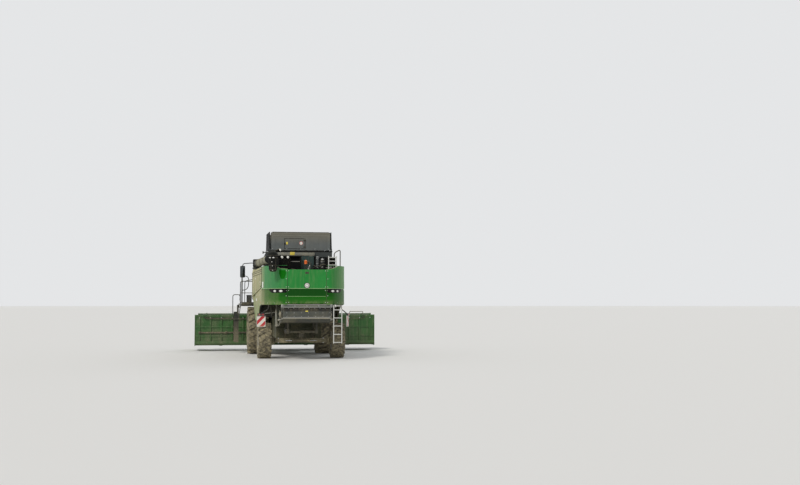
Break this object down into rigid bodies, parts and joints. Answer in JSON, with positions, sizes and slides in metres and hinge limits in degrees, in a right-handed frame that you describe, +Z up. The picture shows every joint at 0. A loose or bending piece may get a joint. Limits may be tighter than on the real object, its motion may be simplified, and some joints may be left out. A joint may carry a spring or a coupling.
{
  "type": "combine harvester",
  "caption": "Self-propelled combine harvester with grain header, cab, open-lid grain tank, folded unloading auger, rear straw chopper and steered rear wheels",
  "frame": {"origin": "on the ground under the middle of the whole length and width", "axes": "+Y forward in the direction of travel, +X to the machine's right, +Z up"},
  "size_m": [7.6, 11.3381, 4.62],
  "materials": {
    "green_panel": "satin",
    "dusty_panel": "satin with dust",
    "dark_green": "satin",
    "grey_body": "satin with dust",
    "dark_metal": "satin",
    "tank_grey": "satin",
    "light_metal": "satin",
    "rim_paint": "satin with dust",
    "bare_steel": "worn",
    "rod_chrome": "polished",
    "tyre": "dusty",
    "boot_rubber": "matt",
    "cab_glass": "clear tint",
    "cab_cloth": "woven",
    "cab_plastic": "matt",
    "mirror": "gloss",
    "lamp_lens": "clear",
    "board_white": "satin"
  },
  "bodies": {
    "root": {"chassis": "dark_metal", "panel_ribs": "dark_metal", "threshing_body": "grey_body", "front_axle": "dark_metal", "rear_axle": "dark_metal", "cab": "dark_green", "cab_roof": "green_panel", "cab_glass": "cab_glass", "cab_chair": "cab_cloth", "cab_console": "cab_plastic", "platform": "dark_metal", "mirrors": "mirror", "grain_tank": "tank_grey", "unload_turret": "dark_metal", "engine": "dark_metal", "engine_deck": "dark_metal", "deck_rails": "light_metal", "hood": "green_panel", "lower_shields": "dusty_panel", "chopper": "light_metal", "guard_rail": "light_metal", "warning_boards": "board_white", "lamps": "lamp_lens"},
    "front_wheel_left": {"front_tyre_left": "tyre", "front_rim_left": "rim_paint"},
    "knuckle_left": {"knuckle_left": "dark_metal"},
    "rear_wheel_left": {"rear_tyre_left": "tyre", "rear_rim_left": "rim_paint"},
    "front_wheel_right": {"front_tyre_right": "tyre", "front_rim_right": "rim_paint"},
    "knuckle_right": {"knuckle_right": "dark_metal"},
    "rear_wheel_right": {"rear_tyre_right": "tyre", "rear_rim_right": "rim_paint"},
    "header": {"feeder_house": "dark_green", "header_trough": "green_panel", "cutterbar": "bare_steel"},
    "lift_barrels": {"lift_barrels": "dark_metal"},
    "lift_rods": {"lift_rods": "rod_chrome"},
    "cross_auger": {"cross_auger": "dusty_panel", "auger_flights": "bare_steel"},
    "reel_arms": {"reel_arms": "green_panel"},
    "reel": {"reel": "tank_grey"},
    "cab_door": {"cab_door": "dark_green", "cab_door_glass": "cab_glass"},
    "hand_wheel": {"hand_wheel": "cab_plastic"},
    "cab_ladder": {"cab_ladder": "dark_metal"},
    "lid_rear": {"lid_rear": "tank_grey"},
    "lid_front": {"lid_front": "tank_grey"},
    "lid_left": {"lid_left": "tank_grey"},
    "lid_right": {"lid_right": "tank_grey"},
    "lid_hatch": {"lid_hatch": "tank_grey"},
    "unloader": {"unload_tube": "dusty_panel", "unload_spout": "boot_rubber"},
    "hood_door": {"hood_door": "green_panel"},
    "side_panel_left": {"side_panel_left": "dusty_panel"},
    "side_panel_right": {"side_panel_right": "dusty_panel"},
    "chopper_rotor": {"chopper_rotor": "bare_steel"},
    "tail_board": {"tail_board": "light_metal"},
    "rear_ladder": {"rear_ladder": "light_metal"}
  },
  "joints": [
    {"name": "front_wheel_left_spin", "type": "hinge", "parent": "root", "child": "front_wheel_left", "pos_m": [-1.35, 0.575, 0.925], "axis": [1, 0, 0], "continuous": true},
    {"name": "front_wheel_right_spin", "type": "hinge", "parent": "root", "child": "front_wheel_right", "pos_m": [1.35, 0.575, 0.925], "axis": [1, 0, 0], "continuous": true},
    {"name": "steer_left", "type": "hinge", "parent": "root", "child": "knuckle_left", "pos_m": [-1.01, -3.215, 0.64], "axis": [0, 0, 1], "range_deg": [-38, 38]},
    {"name": "rear_wheel_left_spin", "type": "hinge", "parent": "knuckle_left", "child": "rear_wheel_left", "pos_m": [-1.33, -3.215, 0.64], "axis": [1, 0, 0], "continuous": true},
    {"name": "steer_right", "type": "hinge", "parent": "root", "child": "knuckle_right", "pos_m": [1.01, -3.215, 0.64], "axis": [0, 0, 1], "range_deg": [-38, 38]},
    {"name": "rear_wheel_right_spin", "type": "hinge", "parent": "knuckle_right", "child": "rear_wheel_right", "pos_m": [1.33, -3.215, 0.64], "axis": [1, 0, 0], "continuous": true},
    {"name": "header_lift", "type": "hinge", "parent": "root", "child": "header", "pos_m": [0, 1.525, 1.65], "axis": [1, 0, 0], "range_deg": [-3, 18]},
    {"name": "lift_barrel_swing", "type": "hinge", "parent": "root", "child": "lift_barrels", "pos_m": [0, 0.815, 0.76], "axis": [1, 0, 0], "range_deg": [-2.97, 12.85]},
    {"name": "lift_rod_slide", "type": "slide", "parent": "lift_barrels", "child": "lift_rods", "axis": [0, 0.9943, -0.1067], "range_m": [-0.057, 0.29]},
    {"name": "cross_auger_spin", "type": "hinge", "parent": "header", "child": "cross_auger", "pos_m": [0, 3.825, 0.64], "axis": [1, 0, 0], "continuous": true},
    {"name": "reel_lift", "type": "hinge", "parent": "header", "child": "reel_arms", "pos_m": [0, 3.485, 1.54], "axis": [1, 0, 0], "range_deg": [-3, 30]},
    {"name": "reel_spin", "type": "hinge", "parent": "reel_arms", "child": "reel", "pos_m": [0, 4.665, 1.06], "axis": [1, 0, 0], "continuous": true},
    {"name": "cab_door_swing", "type": "hinge", "parent": "root", "child": "cab_door", "pos_m": [-0.916, 1.257, 2.8], "axis": [0, 0, 1], "range_deg": [0, 85]},
    {"name": "hand_wheel_turn", "type": "hinge", "parent": "root", "child": "hand_wheel", "pos_m": [0, 1.895, 2.83], "axis": [0, -0.4695, 0.8829], "range_deg": [-720, 720]},
    {"name": "cab_ladder_swing", "type": "hinge", "parent": "root", "child": "cab_ladder", "pos_m": [-2.03, 2.015, 1.9], "axis": [0, 0, -1], "range_deg": [0, 90]},
    {"name": "lid_rear_fold", "type": "hinge", "parent": "root", "child": "lid_rear", "pos_m": [0, -3.079, 3.95], "axis": [-1, 0, 0], "range_deg": [0, 85.5]},
    {"name": "lid_front_fold", "type": "hinge", "parent": "root", "child": "lid_front", "pos_m": [0, -1.151, 3.95], "axis": [1, 0, 0], "range_deg": [0, 85.5]},
    {"name": "lid_left_fold", "type": "hinge", "parent": "root", "child": "lid_left", "pos_m": [-1.144, -2.095, 3.99], "axis": [0, 1, 0], "range_deg": [0, 88.5]},
    {"name": "lid_right_fold", "type": "hinge", "parent": "root", "child": "lid_right", "pos_m": [1.144, -2.095, 3.99], "axis": [0, -1, 0], "range_deg": [0, 88.5]},
    {"name": "lid_hatch_swing", "type": "hinge", "parent": "lid_rear", "child": "lid_hatch", "pos_m": [0.033, -3.08111, 4.19], "axis": [0, 0.0723, 0.9974], "range_deg": [0, 110]},
    {"name": "unloader_swing", "type": "hinge", "parent": "root", "child": "unloader", "pos_m": [-1.44, -0.425, 3.36], "axis": [0, 0, -1], "range_deg": [0, 100]},
    {"name": "hood_door_lift", "type": "hinge", "parent": "root", "child": "hood_door", "pos_m": [0, -5.359, 3.152], "axis": [-1, 0, 0], "range_deg": [0, 80]},
    {"name": "side_panel_left_lift", "type": "hinge", "parent": "root", "child": "side_panel_left", "pos_m": [-1.425, -2.325, 3.282], "axis": [0, 1, 0], "range_deg": [0, 75]},
    {"name": "side_panel_right_lift", "type": "hinge", "parent": "root", "child": "side_panel_right", "pos_m": [1.425, -2.325, 3.282], "axis": [0, -1, 0], "range_deg": [0, 75]},
    {"name": "chopper_rotor_spin", "type": "hinge", "parent": "root", "child": "chopper_rotor", "pos_m": [0, -4.865, 1.6], "axis": [1, 0, 0], "continuous": true},
    {"name": "tail_board_tilt", "type": "hinge", "parent": "root", "child": "tail_board", "pos_m": [0, -5.335, 1.8], "axis": [-1, 0, 0], "range_deg": [0, 50]},
    {"name": "rear_ladder_fold", "type": "hinge", "parent": "root", "child": "rear_ladder", "pos_m": [1.07, -5.415, 1.9], "axis": [-1, 0, 0], "range_deg": [0, 150]}
  ],
  "couplings": [
    {"joint": "steer_right", "follows": "steer_left", "ratio": 1},
    {"joint": "lift_barrel_swing", "follows": "header_lift", "ratio": 0.6582},
    {"joint": "lift_rod_slide", "follows": "header_lift", "m_per_rad": 0.8901}
  ]
}
